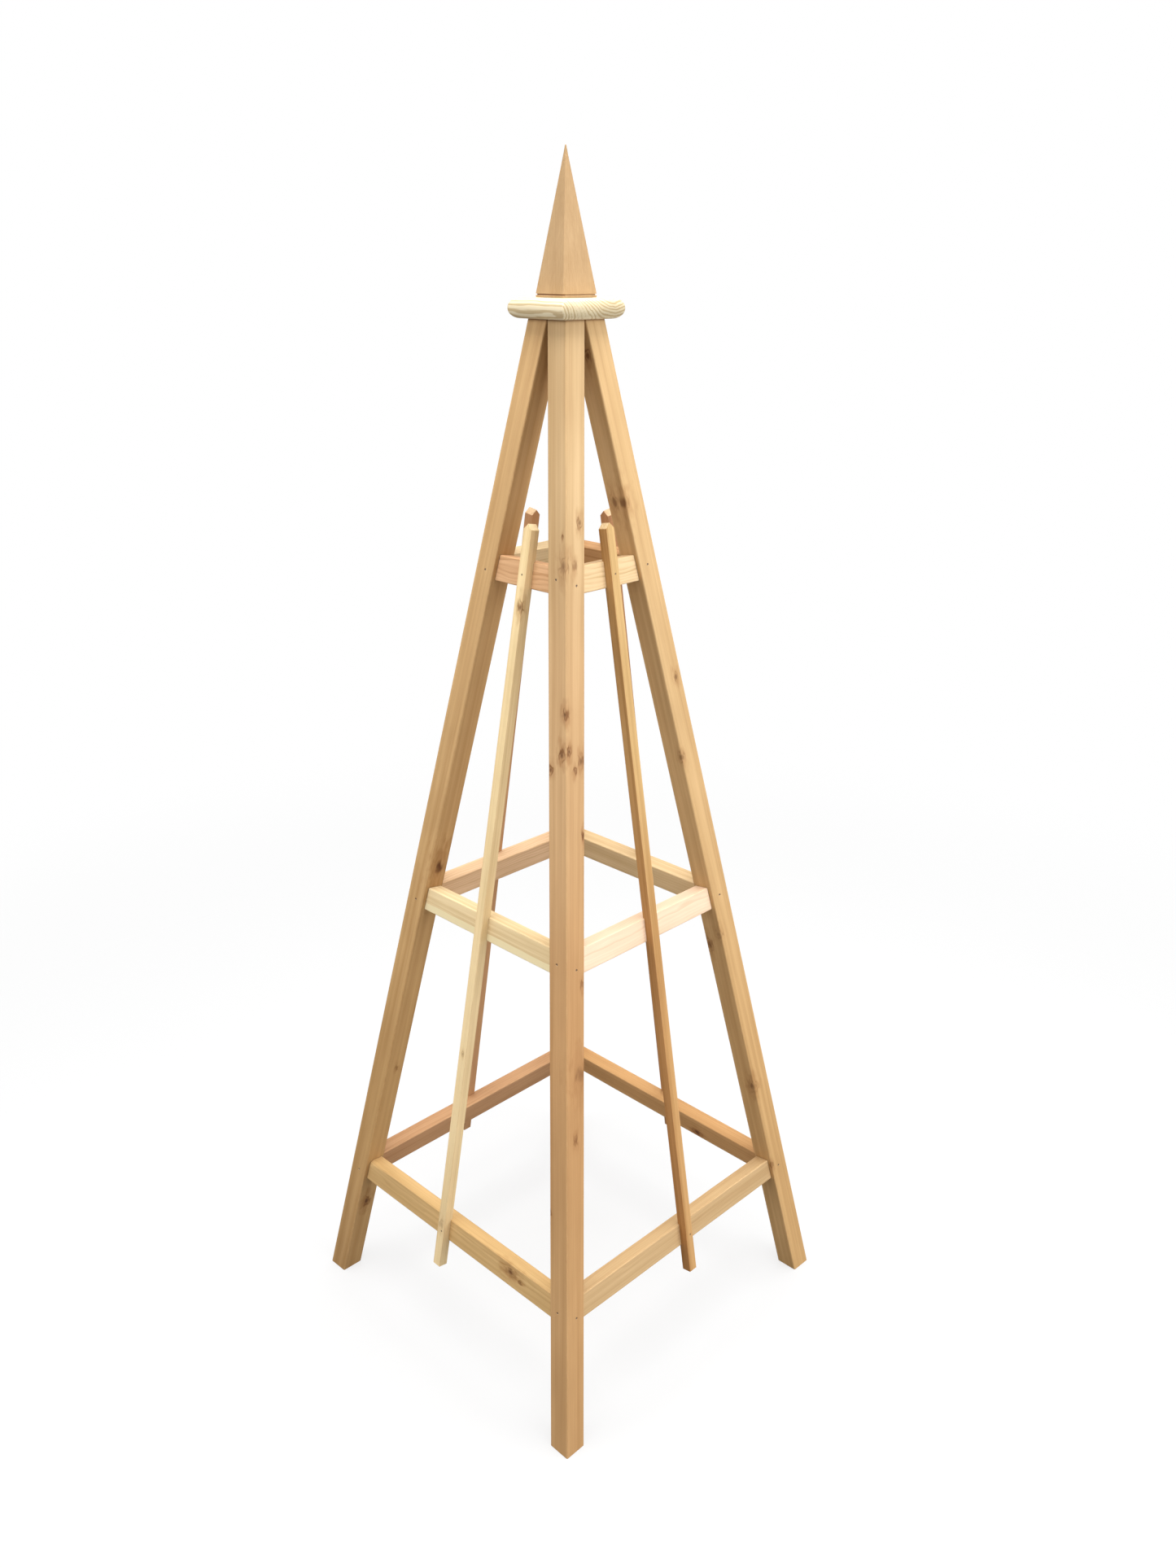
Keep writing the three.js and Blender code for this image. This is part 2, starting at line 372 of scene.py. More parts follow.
def linear(colour):
    """A linear colour from a six-digit sRGB one."""
    channels = []
    for shift in (16, 8, 0):
        value = (colour >> shift & 255) / 255
        channels.append(value / 12.92 if value <= 0.04045 else ((value + 0.055) / 1.055) ** 2.4)
    return (*channels, 1.0)


def new_group(name, inputs, outputs):
    group = bpy.data.node_groups.new(name, "ShaderNodeTree")
    for title, kind in inputs:
        group.interface.new_socket(title, in_out="INPUT", socket_type="NodeSocket" + kind)
    for title, kind in outputs:
        group.interface.new_socket(title, in_out="OUTPUT", socket_type="NodeSocket" + kind)
    graph = Graph(group)
    return graph, graph.add("NodeGroupInput").outputs, graph.add("NodeGroupOutput").inputs


def knot_group():
    """Adds one knot to what the knots before it gave. Push is how far the grain is pushed aside,
    Heart covers the knot itself, Curl the dark arcs of grain round a small one and Halo the stained
    wood above and below it. Ragged is the noise that tears their outlines."""
    sums = [("Push", "Vector"), ("Heart", "Float"), ("Curl", "Float"), ("Halo", "Float")]
    own = [("Place", "Vector"), ("Ragged", "Float"), ("Centre", "Vector"), ("Radius", "Float"),
           ("Strength", "Float")]
    graph, given, result = new_group("knot", own + sums, sums)
    apart = graph.vector("SUBTRACT", given["Place"], given["Centre"])

    def reach(stretch, raggedness):
        length = graph.vector("LENGTH", graph.vector("MULTIPLY", apart, stretch))
        near = graph.math("DIVIDE", length, given["Radius"])
        shift = graph.math("MULTIPLY_ADD", given["Ragged"], raggedness, -raggedness / 2)
        return graph.math("ADD", near, shift)

    def keep_greatest(title, value):
        value = graph.math("MULTIPLY", value, given["Strength"])
        graph.feed(result[title], graph.math("MAXIMUM", value, given[title]))

    near = reach((0.7, 1, 1), 1.6)
    least = graph.math("MAXIMUM", near, 1.0)
    fall = graph.math("DIVIDE", -0.8, graph.math("MULTIPLY", least, least))
    push = graph.scaled(graph.vector("MULTIPLY", apart, (0, 1, 1)), fall)
    graph.feed(result["Push"], graph.vector("ADD", push, given["Push"]))
    keep_greatest("Heart", graph.step(near, 1.15, 0.2))
    ring = graph.math("ABSOLUTE", graph.math("ADD", reach((0.65, 1, 1), 4.5), -1.35))
    small = graph.step(given["Radius"], 8, 4.5)
    broken = graph.math("MULTIPLY", graph.step(given["Ragged"], 0.4, 0.56), small)
    keep_greatest("Curl", graph.math("MULTIPLY", graph.step(ring, 0.65, 0.1), broken))
    keep_greatest("Halo", graph.step(reach((0.36, 0.85, 0.85), 3.0), 2.5, 0.5))
    return graph.tree


def grain_group():
    """The figure of straight-grained wood along X, in mm. Ring is 1 on the dark late wood, Streak
    is 0 to 1 across soft broad stripes, Line the fine ones, Fibre the roughness left by the plane
    and Cloud the slow drift of colour."""
    inputs = [("Place", "Vector"), ("Pith", "Vector"), ("Spacing", "Float"), ("Waver", "Float"),
              ("Seed", "Float")]
    titles = ("Ring", "Streak", "Line", "Fibre", "Cloud")
    graph, given, result = new_group("grain", inputs, [(title, "Float") for title in titles])
    shift = graph.scaled((311.0, 67.0, 41.0), given["Seed"])
    place = graph.vector("ADD", given["Place"], shift)

    bend = graph.math("ADD", graph.noise(place, (130, 30, 30), detail=3), -0.5)
    from_pith = graph.vector("SUBTRACT", given["Place"], given["Pith"])
    radius = graph.vector("LENGTH", graph.vector("MULTIPLY", from_pith, (0, 1, 1)))
    radius = graph.math("MULTIPLY_ADD", bend, given["Waver"], radius)
    turns = graph.math("DIVIDE", radius, given["Spacing"])
    part = graph.math("FRACT", turns)
    edge = graph.math("MULTIPLY", graph.step(part, 0.3, 0.88), graph.step(part, 1.0, 0.88))
    number = graph.math("MULTIPLY_ADD", given["Seed"], 17.0, graph.math("FLOOR", turns))
    own = graph.add("ShaderNodeTexWhiteNoise", {"W": number}, noise_dimensions="1D").outputs["Value"]
    weight = graph.math("MULTIPLY_ADD", own, 0.8, 0.2)
    graph.feed(result["Ring"], graph.math("MULTIPLY", edge, weight))

    graph.feed(result["Streak"], graph.noise(place, (620, 9, 9), detail=2))
    graph.feed(result["Line"], graph.noise(place, (300, 1.7, 1.7), detail=3, roughness=0.6))
    graph.feed(result["Fibre"], graph.noise(place, (30, 0.6, 0.6), detail=4, roughness=0.65))
    graph.feed(result["Cloud"], graph.noise(place, (150, 50, 50), detail=2))
    return graph.tree


KNOT = knot_group()
GRAIN = grain_group()

LIGHTEST = (1.10, 1.12, 1.17, 1)  # of the early wood, against the wood's own colour
DARKEST = (0.80, 0.72, 0.62, 1)  # of the late wood
KNOT_STAIN = (0.30, 0.20, 0.14, 1)  # of the heart of a knot, against the wood round it
CURL_STAIN = (0.46, 0.34, 0.25, 1)
HALO_STAIN = (0.72, 0.60, 0.50, 1)
EARLY_WOOD = 0.36  # how far plain wood is from LIGHTEST towards DARKEST
RING_MEAN = 0.2  # of Ring, taken off so that strong rings don't darken a whole piece
# Pale cream of the sawn end grain; on the upturned points of the slats it is also painted light, as they
# face the light from above.
SAWN_ENDS_AND_PAINTED_LIGHT = 0xEBD6AE
SAWN_AND_LIGHT_SHARE = 0.6
# The seam colour paints the shadow at an end that butts against another piece.
SEAM_SHADOW_BROWN = 0x6B4526
SEAM_SHADOW_SHARE = 0.65
PLANED_EDGE = 0xD2AC7C
SAPWOOD = 0xE9D9AE
LEFT_SIDE_DARKENING = (0.86, 0.74, 0.64, 1)  # against the slat's own colour
# Colour of the painted shadow in the finial's groove.
GROOVE_SHADOW = 0x6E401F
GROOVE_HEIGHT = 4.0  # of its middle above the collar, in mm
STEEL = 0x8A7763
RUST = 0x6B4C38


def box_edges(graph, place, half_y, half_z, ease):
    """1 along the eased edges of a bar, 0 on its faces."""
    parts = graph.add("ShaderNodeSeparateXYZ", {"Vector": place}).outputs
    y = graph.math("SUBTRACT", graph.math("ABSOLUTE", parts["Y"]), half_y - ease)
    z = graph.math("SUBTRACT", graph.math("ABSOLUTE", parts["Z"]), half_z - ease)
    return graph.step(graph.math("MINIMUM", y, z), -0.6, ease * 0.5)


KNOT_SCALE = 1.4  # of the radii in the tables of knots


def all_knots(graph, place, knots):
    """Push, Heart, Curl and Halo of all the knots of a piece."""
    sums = {"Push": (0, 0, 0), "Heart": 0.0, "Curl": 0.0, "Halo": 0.0}
    ragged = graph.noise(place, (15, 7, 7), detail=1)
    for x, y, z, radius, strength in knots:
        inputs = {"Place": place, "Ragged": ragged, "Centre": (x, y, z), "Radius": radius * KNOT_SCALE,
                  "Strength": strength}
        knot = graph.add("ShaderNodeGroup", node_tree=KNOT)
        for title, value in {**inputs, **sums}.items():
            graph.feed(knot.inputs[title], value)
        sums = {title: knot.outputs[title] for title in sums}
    return sums


def tone_along(graph, place, tones):
    """The mean colour along a piece, from (distance in mm, colour) pairs."""
    distance = graph.add("ShaderNodeSeparateXYZ", {"Vector": place}).outputs["X"]
    colour = linear(tones[0][1])
    for (before, _), (after, tone) in zip(tones, tones[1:]):
        colour = graph.mix(graph.step(distance, before, after), colour, linear(tone))
    return colour


def figure(graph, grain, base, rings, lines, streaks):
    """The base colour made lighter and darker by the wood's rings, lines and streaks."""
    dark = graph.math("MULTIPLY_ADD", grain["Ring"], rings, EARLY_WOOD - RING_MEAN * rings)
    streak = graph.math("ADD", grain["Streak"], -0.5)
    dark = graph.math("MULTIPLY_ADD", streak, streaks, dark)
    line = graph.math("ADD", grain["Line"], -0.5)
    dark = graph.math("MULTIPLY_ADD", line, lines, dark)
    dark = graph.math("MAXIMUM", graph.math("MINIMUM", dark, 1.0), 0.0)
    shade = graph.mix(dark, LIGHTEST, DARKEST)
    colour = graph.mix(1.0, base, shade, blend="MULTIPLY")
    cloud = graph.spread(grain["Cloud"], 0.16)
    drift = graph.math("MULTIPLY", cloud, graph.spread(grain["Fibre"], 0.05))
    channels = {
        "Red": drift,
        "Green": graph.math("POWER", drift, 1.2),
        "Blue": graph.math("POWER", drift, 1.5),
    }
    tint = graph.add("ShaderNodeCombineColor", channels).outputs[0]
    return graph.mix(1.0, colour, tint, blend="MULTIPLY")


def end_grain(graph, axis):
    """1 on the surfaces that look along the grain, 0 on the others."""
    facing = graph.add("ShaderNodeNewGeometry").outputs["True Normal"]
    endwise = graph.math("ABSOLUTE", graph.vector("DOT_PRODUCT", facing, tuple(axis)))
    return graph.step(endwise, 0.55, 0.75)


def wear(graph, place, colour, section):
    """Makes the eased edges paler in patches."""
    worn = box_edges(graph, place, *section)
    scuffs = graph.step(graph.noise(place, (14, 5, 5), detail=3), 0.4, 0.7)
    worn = graph.math("MULTIPLY", worn, graph.math("MULTIPLY_ADD", scuffs, 0.2, 0.05))
    return graph.mix(worn, colour, linear(PLANED_EDGE))


def paint_seam_shadow(graph, colour, seam_shadow_mm):
    """Painted shadow: darkens a butted end over its last few mm, where it meets the next piece."""
    ending = graph.add("ShaderNodeAttribute", attribute_name="ending").outputs["Fac"]
    shadowed = graph.math("MULTIPLY", graph.step(ending, seam_shadow_mm, 0.1 * seam_shadow_mm), SEAM_SHADOW_SHARE)
    return graph.mix(shadowed, colour, linear(SEAM_SHADOW_BROWN))


def stain_knots(graph, colour, grain, knotty):
    """Lays the stains of the knots over the wood."""
    halo = graph.math("MULTIPLY_ADD", grain["Line"], 0.8, 0.4)
    halo = graph.math("MULTIPLY", knotty["Halo"], halo)
    stains = ((halo, HALO_STAIN), (knotty["Curl"], CURL_STAIN), (knotty["Heart"], KNOT_STAIN))
    for share, stain in stains:
        colour = graph.mix(share, colour, stain, blend="MULTIPLY")
    return colour


def planed_surface(graph, colour, grain, endwise, heart):
    """Matt planed wood. heart is 1 on the knots, which are smoother and a little sunk."""
    rough = graph.math("MULTIPLY_ADD", grain["Fibre"], 0.22, 0.52)
    rough = graph.math("MULTIPLY_ADD", grain["Ring"], -0.08, rough)
    rough = graph.math("MULTIPLY_ADD", endwise, 0.12, rough)
    rough = graph.math("MULTIPLY_ADD", heart, -0.12, rough)
    relief = graph.math("MULTIPLY", grain["Fibre"], 0.8)
    relief = graph.math("MULTIPLY_ADD", grain["Ring"], 0.35, relief)
    relief = graph.math("MULTIPLY_ADD", heart, -0.4, relief)
    bump = graph.add("ShaderNodeBump", {"Height": relief, "Strength": 0.3, "Distance": 0.15 * MM})
    return graph.add("ShaderNodeBsdfPrincipled", {
        "Base Color": colour,
        "Roughness": rough,
        "Normal": bump.outputs[0],
        "Specular IOR Level": 0.25,
    }).outputs[0]


def new_material(name):
    """An empty material and the graph of its nodes."""
    material = bpy.data.materials.new(name)
    material.use_nodes = True
    material.node_tree.nodes.clear()
    return material, Graph(material.node_tree)


def show(graph, surface):
    out = graph.add("ShaderNodeOutputMaterial")
    graph.feed(out.inputs["Surface"], surface)


def cedar(name, tones, axis, section, knots=(), pith=(0, 90, 60), spacing=3.2, waver=8.0, seed=1.0,
          figured=(0.3, 0.9, 1.3), marks=None, seam_shadow_mm=0.9, sawn=SAWN_ENDS_AND_PAINTED_LIGHT):
    """Planed softwood. tones are its mean colours along it, axis is the direction of its grain
    and section its half width, half height and edge radius in mm. pith, spacing and waver place
    its rings, and figured gives the strengths of its rings, lines and streaks.
    marks(graph, place, colour) adds what is special to a piece, seam_shadow_mm is the length of the
    painted shadow at a butted end, and sawn is the colour of its sawn ends, whose pale default also
    paints the light on the upturned points of the slats."""
    material, graph = new_material(name)
    place = graph.add("ShaderNodeAttribute", attribute_name="place").outputs["Vector"]
    knotty = all_knots(graph, place, knots)
    pushed = graph.vector("ADD", place, knotty["Push"])
    given = {"Place": pushed, "Pith": pith, "Spacing": spacing, "Waver": waver, "Seed": seed}
    group = graph.add("ShaderNodeGroup", node_tree=GRAIN)
    for title, value in given.items():
        graph.feed(group.inputs[title], value)
    grain = group.outputs

    endwise = end_grain(graph, axis)
    base = tone_along(graph, place, tones)
    # End grain turns towards the sawn colour, which by default also paints light on the slats' points.
    base = graph.mix(graph.math("MULTIPLY", endwise, SAWN_AND_LIGHT_SHARE), base, linear(sawn))
    colour = figure(graph, grain, base, *figured)
    if marks:
        colour = marks(graph, place, colour)
    colour = wear(graph, place, colour, section)
    # Painted shadow at the butted ends.
    colour = paint_seam_shadow(graph, colour, seam_shadow_mm)
    colour = stain_knots(graph, colour, grain, knotty)
    show(graph, planed_surface(graph, colour, grain, endwise, knotty["Heart"]))
    return material


def sapwood_band(graph, place, colour):
    """A cream band of sapwood along the lower third of a rail's outer face."""
    parts = graph.add("ShaderNodeSeparateXYZ", {"Vector": place}).outputs
    wave = graph.math("MULTIPLY_ADD", graph.noise(place, (70, 500, 500)), 5.0, -2.5)
    height = graph.math("ADD", parts["Z"], wave)
    share = graph.math("MULTIPLY", graph.step(height, -6.3, -7.7), graph.step(parts["Y"], 2, -8))
    return graph.mix(graph.math("MULTIPLY", share, 0.9), colour, linear(SAPWOOD))


def paint_groove_shadow(graph, place, colour):
    """Painted shadow in the groove round the foot of the finial, darkest at the front."""
    parts = graph.add("ShaderNodeSeparateXYZ", {"Vector": place}).outputs
    off = graph.math("ABSOLUTE", graph.math("SUBTRACT", parts["X"], GROOVE_HEIGHT))
    front = graph.step(parts["Z"], -24, -27.5)
    share = graph.math("MULTIPLY_ADD", front, 0.6, 0.35)
    share = graph.math("MULTIPLY", graph.step(off, 1.1, 0.6), share)
    return graph.mix(share, colour, linear(GROOVE_SHADOW))


def darker_left_side(graph, place, colour):
    """Darkens the left side of a slat, up to a wavy line."""
    depth = graph.add("ShaderNodeSeparateXYZ", {"Vector": place}).outputs["Z"]
    wave = graph.math("MULTIPLY_ADD", graph.noise(place, (160, 300, 300)), 2.0, -1.0)
    share = graph.step(graph.math("ADD", depth, wave), -6.4, -7.8)
    return graph.mix(share, colour, LEFT_SIDE_DARKENING, blend="MULTIPLY")


def steel():
    """Dull nail steel, a little darkened and rusted."""
    material, graph = new_material("nail_steel")
    place = graph.add("ShaderNodeAttribute", attribute_name="place").outputs["Vector"]
    blotch = graph.noise(place, (0.9, 0.9, 0.9), detail=4)
    rust = graph.step(blotch, 0.45, 0.62)
    bump = graph.add("ShaderNodeBump", {"Height": blotch, "Strength": 0.3, "Distance": 0.05 * MM})
    surface = graph.add("ShaderNodeBsdfPrincipled", {
        "Base Color": graph.mix(rust, linear(STEEL), linear(RUST)),
        "Metallic": graph.math("MULTIPLY_ADD", rust, -0.5, 0.7),
        "Roughness": graph.math("MULTIPLY_ADD", blotch, 0.35, 0.3),
        "Normal": bump.outputs[0],
    })
    show(graph, surface.outputs[0])
    return material


# ---- Wood of each piece -----------------------------------------------------------------------

# Mean colours, for the legs as (distance in mm from the ground, colour) along them. Their change along a leg
# is partly painted light, mostly darker low down and lighter higher up.
LEG_TONES_AND_LIGHT = {
    "front_right": ((250, 0xC29867), (620, 0xBC9060), (1100, 0xC49F72), (1450, 0xC2A377)),
    "back_right": ((300, 0xC69F6B), (1300, 0xC6A474)),
    "back_left": ((300, 0xBE9564), (1300, 0xC09868)),
    "front_left": ((60, 0xB48E5D), (300, 0xBE9763), (1300, 0xBE9968)),
}
RAIL_TONES = {
    "lower_front": 0xCFAB74, "lower_right": 0xC4A477, "lower_back": 0xC39662, "lower_left": 0xB78C64,
    "middle_front": 0xE3CB9D, "middle_right": 0xECD0B2, "middle_back": 0xD3B78A, "middle_left": 0xD8B58E,
    "upper_front": 0xCEA378, "upper_right": 0xD8BB8F, "upper_back": 0xC09464, "upper_left": 0xE4CEA2,
}
SLAT_TONES = {
    "front": ((400, 0xECD2A1), (950, 0xE4CA98)), "right": ((450, 0xC49862), (950, 0xC8A670)),
    "back": ((0, 0xB88A61),), "left": ((0, 0xBE9167),),
}
COLLAR_TONE = 0xD5C6A4
COLLAR_SAWN = 0xB0A07E
FINIAL_TONE = 0xAE8F67

# Knots as (distance along the piece, y, z, radius, strength), in mm in the piece's own frame.
LEG_KNOTS = {
    "front_right": [
        (1373, 17, 11, 1.3, 0.9), (1332, 16, 12, 4.2, 0.65), (1334, 2, 17, 2.4, 0.6),
        (1392, -7, 17, 2.8, 0.7), (1129, 17, 15, 2.6, 0.9), (1073, 17, 9, 3.2, 0.9),
        (1077, 13, 17, 2.6, 0.9), (1062, -11, 17, 3.2, 0.75), (1050, 17, -13, 2.6, 0.9),
        (1049, 1, 17, 2, 0.8), (954, -16, 17, 2.4, 0.95), (735, -13, 17, 2.4, 0.6),
        (601, -9, 17, 7, 0.5), (503, -1, 17, 3, 0.6), (384, 17, -17, 2, 0.6),
    ],
    "back_right": [
        (1616, 7, -17, 3.2, 0.8), (1411, -5, -17, 4.6, 0.7), (1411, 11, -17, 5.6, 0.75),
        (1137, 17, 5, 2.6, 0.7), (1015, 17, -17, 3, 0.6), (678, -12, -17, 4, 0.7),
        (700, 14, -17, 3.5, 0.35), (405, 13, -17, 4.5, 0.7), (240, 17, -17, 2, 0.6),
    ],
    "back_left": [
        (1200, 17, 4, 3, 0.7), (830, 6, 17, 4, 0.8), (500, -17, 3, 3, 0.7), (300, 17, -5, 4, 0.7),
    ],
    "front_left": [
        (821, -17, -3, 7, 1.0), (437, -17, -3, 2, 0.5), (156, -17, 0, 4, 0.9), (1180, 17, 3, 3, 0.6),
    ],
}
RAIL_KNOTS = {
    "lower_front": [(135, -12.7, 5.5, 4.5, 1.0), (158, -12.7, 0, 1.8, 0.8)],
    "lower_back": [(-92, 12.7, -9.5, 3.5, 0.9)],
    "lower_left": [(60, -12.7, -4, 3.5, 0.7)],
}
SLAT_KNOTS = {
    "front": [(1091, 8, 5, 3, 0.9), (385, 8, 1, 1.5, 0.5), (77, 8, 0, 3, 0.35)],
    "right": [],
    "back": [(700, 8, 3, 2, 0.7)],
    "left": [],
}

# Strengths of (rings, lines, streaks), by name where a piece differs from the rest.
LEG_FIGURE = (0.15, 0.6, 1.6)
PLAIN_RAIL = (0.3, 0.9, 1.3)
PLAIN_SLAT = (0.2, 0.9, 1.2)
COLLAR_FIGURE = (3.0, 2.6, 0.6)
FINIAL_FIGURE = (0.25, 0.9, 0.6)
RAIL_FIGURE = {
    "upper_front": (0.9, 1.4, 1.0), "upper_right": (0.8, 0.5, 1.0), "middle_right": (0.45, 0.3, 0.6),
    "middle_left": (0.5, 0.6, 1.0), "upper_left": (0.5, 0.6, 1.0), "upper_back": (0.7, 0.9, 1.0),
}
SLAT_FIGURE = {"right": (0.3, 1.3, 2.6)}


# ---- Pieces -----------------------------------------------------------------------------------

LEG_STATIONS = 24
RAIL_STATIONS = 40
SLAT_STATIONS = 24

butts = {}  # the functions that give the X of the two ends of a piece where it meets another


def far_below(y, z):
    """Stands for an end that meets nothing."""
    return -BASE


def build_leg(number):
    matrix = leg_frame(number)
    inverse_rise = 1 / matrix.col[0].z

    def sawn_at(height):
        def at(y, z):
            return (height - matrix.translation.z - y * matrix.col[1].z - z * matrix.col[2].z) * inverse_rise
        return at

    name = "leg_" + CORNERS[number]
    low, high = extent(name, matrix)
    mesh = bar(high.y - low.y, high.z - low.z, planed_edges(LEG_EASE, number + 1),
               sawn_at(0), sawn_at(UNDERSIDE - GAP), LEG_STATIONS)
    leg = object_of("wood_" + name, mesh, matrix)
    leg["node"] = name
    butts[name] = (far_below, sawn_at(UNDERSIDE - GAP))
    return leg


def butted(matrix, leg_matrix, axis):
    """X of a rail's end where it meets the leg's inner face, which looks along -axis."""
    normal = leg_matrix.col[axis].to_3d()
    point = leg_matrix.translation - normal * (LEG_SIDE / 2 + GAP)
    inverse = matrix.inverted()
    local_normal = inverse.to_3x3() @ normal
    reach = local_normal.dot(inverse @ point)

    def at(y, z):
        return (reach - local_normal.y * y - local_normal.z * z) / local_normal.x
    return at


WANE_LENGTH = 0.09
WANE_RADIUS = 0.009
WANE_FALL = 1.5  # how quickly the wane dies away


def rail_edges(name, seed):
    """Eased edges, and on one rail a waney outer top edge, widest at its left end."""
    eased = planed_edges(RAIL_EASE, seed)
    if name != "lower_front":
        return eased

    def radii(share):
        corners = eased(share)
        length = BASE - 2 * LEG_SIDE
        wane = max(0.0, 1 - share * length / WANE_LENGTH)
        corners[1] += (WANE_RADIUS - RAIL_EASE) * wane ** WANE_FALL
        return corners
    return radii


def build_rail(tier, side):
    name = tier + "_" + SIDES[side]
    plane = side_frame(side)
    low, high = extent("rail_" + name, plane)
    matrix = plane @ Matrix.Translation((low + high) / 2)
    start = butted(matrix, leg_frame((side + 3) % 4), 1)
    end = butted(matrix, leg_frame(side), 2)
    seed = 10 + 4 * TIERS.index(tier) + side
    mesh = bar(high.y - low.y, high.z - low.z, rail_edges(name, seed), start, end, RAIL_STATIONS)
    rail = object_of("wood_rail_" + name, mesh, matrix)
    rail["node"] = "rail_" + name
    butts[rail["node"]] = (start, end)
    return rail


def slat_line(side):
    """The slat's frame (X up it, Y out of the side, Z to the right), its side and its length."""
    plane = side_frame(side)
    points = points_of("slat_" + SIDES[side], plane)
    low, high = extent("slat_" + SIDES[side], plane)
    foot = middle_of([p for p in points if p.z < low.z + MM])
    tip = middle_of([p for p in points if p.z > high.z - 0.1 * MM])
    depth = (low.y + high.y) / 2
    foot.y = depth
    tip.y = depth
    along = (tip - foot).normalized()
    out = Vector((0, -1, 0))
    matrix = plane @ from_axes(along, out, along.cross(out), foot)
    return matrix, high.y - low.y, (tip - foot).length


def pointed_bar(width, length, radii, stations, clearance=0):
    """A square bar along X with a ridge across its far end, and some clearance all round."""
    def foot(y, z):
        return -clearance

    def ridge(y, z):
        return length - abs(z) + clearance

    size = width + 2 * clearance
    return bar(size, size, radii, foot, ridge, stations)


def build_slat(side):
    matrix, width, length = slat_line(side)
    mesh = pointed_bar(width, length, planed_edges(SLAT_EASE, side + 30), SLAT_STATIONS)
    slat = object_of("wood_slat_" + SIDES[side], mesh, matrix)
    slat["node"] = "slat_" + SIDES[side]
    return slat


def slat_room(side):
    """What a slat's housings are cut with."""
    matrix, width, length = slat_line(side)
    mesh = pointed_bar(width, length, sharp_edges, 1, GAP)
    return object_of("room_slat_" + SIDES[side], mesh, matrix)


NOSE_STEPS = 14


def build_collar():
    turn = Matrix.Rotation(COLLAR_TURN, 4, "Z")
    low, high = extent("collar", turn)
    half = (high.x - low.x) / 2
    flat = (high.z - low.z) / 2 - COLLAR_NOSE
    levels = []
    for sign in (-1, 1):
        for step in range(NOSE_STEPS + 1):
            angle = (step / NOSE_STEPS if sign > 0 else 1 - step / NOSE_STEPS) * QUARTER
            inset = COLLAR_NOSE * (1 - math.cos(angle))
            height = sign * (flat + COLLAR_NOSE * math.sin(angle))
            levels.append((height, half - inset, COLLAR_CORNER))
    collar = object_of("wood_collar", stack(levels), turn @ Matrix.Translation((low + high) / 2))
    collar["node"] = "collar"
    return collar


PYRAMID_STEPS = 16


def build_finial():
    turn = Matrix.Rotation(FINIAL_TURN, 4, "Z")
    low, high = extent("finial", turn)
    half = (high.x - low.x) / 2
    # The heights of the outer edges of the plinth and of the foot of the pyramid.
    heights = sorted({round(point.z, 5) for point in points_of("finial", turn)
                      if max(abs(point.x), abs(point.y)) > half * 0.9})
    bottom, plinth, groove = heights[0], heights[1], heights[-1]
    rise = high.z - groove - FINIAL_SOFT - FINIAL_TIP

    def up_pyramid(share):
        width = half + (FINIAL_TIP - half) * share
        return (groove + FINIAL_SOFT + rise * share, width, min(FINIAL_EASE, width * 0.6))

    levels = [
        (bottom, half - FINIAL_SOFT, FINIAL_EASE),
        (bottom + FINIAL_SOFT, half, FINIAL_EASE),
        (plinth - FINIAL_SOFT, half, FINIAL_EASE),
        (plinth, half - FINIAL_SOFT, FINIAL_EASE),
        (plinth, half - FINIAL_GROOVE, FINIAL_EASE),
        (groove, half - FINIAL_GROOVE, FINIAL_EASE),
        (groove, half - FINIAL_SOFT, FINIAL_EASE),
    ]
    levels += [up_pyramid(step / PYRAMID_STEPS) for step in range(PYRAMID_STEPS + 1)]
    levels.append((high.z - 0.2 * MM, FINIAL_TIP * 0.45, FINIAL_TIP * 0.3))
    base = Vector((0, 0, COLLAR_TOP))
    levels = [(height - base.z, width, radius) for height, width, radius in levels]
    finial = object_of("wood_finial", stack(levels), turn @ Matrix.Translation(base))
    finial["node"] = "finial"
    return finial


# ---- Fasteners --------------------------------------------------------------------------------

def turned_profile(node, direction):
    """The axis point and the (distance, radius) profile of a CAD fastener along a direction."""
    points = [vertex.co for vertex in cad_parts[node].data.vertices]
    centre = middle_of(points)
    pairs = set()
    for point in points:
        distance = (point - centre).dot(direction)
        radius = (point - centre - direction * distance).length
        pairs.add((round(distance, 5), round(radius, 5)))
    rings = sorted(pair for pair in pairs if pair[1] > LEAST_RADIUS)
    ends = [min(pairs)[0], max(pairs)[0]]
    return centre, [(ends[0], 0)] + rings + [(ends[1], 0)]


def along_axis(centre, direction):
    return Matrix.Translation(centre) @ direction.to_track_quat("X", "Z").to_matrix().to_4x4()


def build_fastener(node, direction):
    """The fastener and the room it needs."""
    centre, profile = turned_profile(node, direction)
    matrix = along_axis(centre, direction)
    top = profile[-1][0]
    flat_head = abs(profile[-2][0] - top) < FLAT_WITHIN
    raised = list(profile)
    if flat_head:
        raised[-2] = (top + HEAD_RISE, profile[-2][1])
        raised[-1] = (top + HEAD_RISE + HEAD_CROWN, 0)
    made = object_of("steel_" + node, lathe(raised), matrix)
    made["node"] = node
    grown = [(distance, radius + GAP) for distance, radius in profile[1:-1]]
    reach = top + (OPEN_ABOVE if flat_head else GAP)
    if flat_head:
        grown[-1] = (reach, grown[-1][1])
    room = object_of("room_" + node, lathe([(profile[0][0] - GAP, 0)] + grown + [(reach, 0)]), matrix)
    return made, room


# ---- Build ------------------------------------------------------------------------------------

fasteners = []
rooms = {}


def fasten(node, direction, pieces):
    made, room = build_fastener(node, direction)
    fasteners.append(made)
    for piece in pieces:
        rooms.setdefault(piece, []).append(room)


legs = [build_leg(number) for number in range(4)]
slats = [build_slat(side) for side in range(4)]
rails = {(tier, side): build_rail(tier, side) for tier in TIERS for side in range(4)}
collar = build_collar()
finial = build_finial()

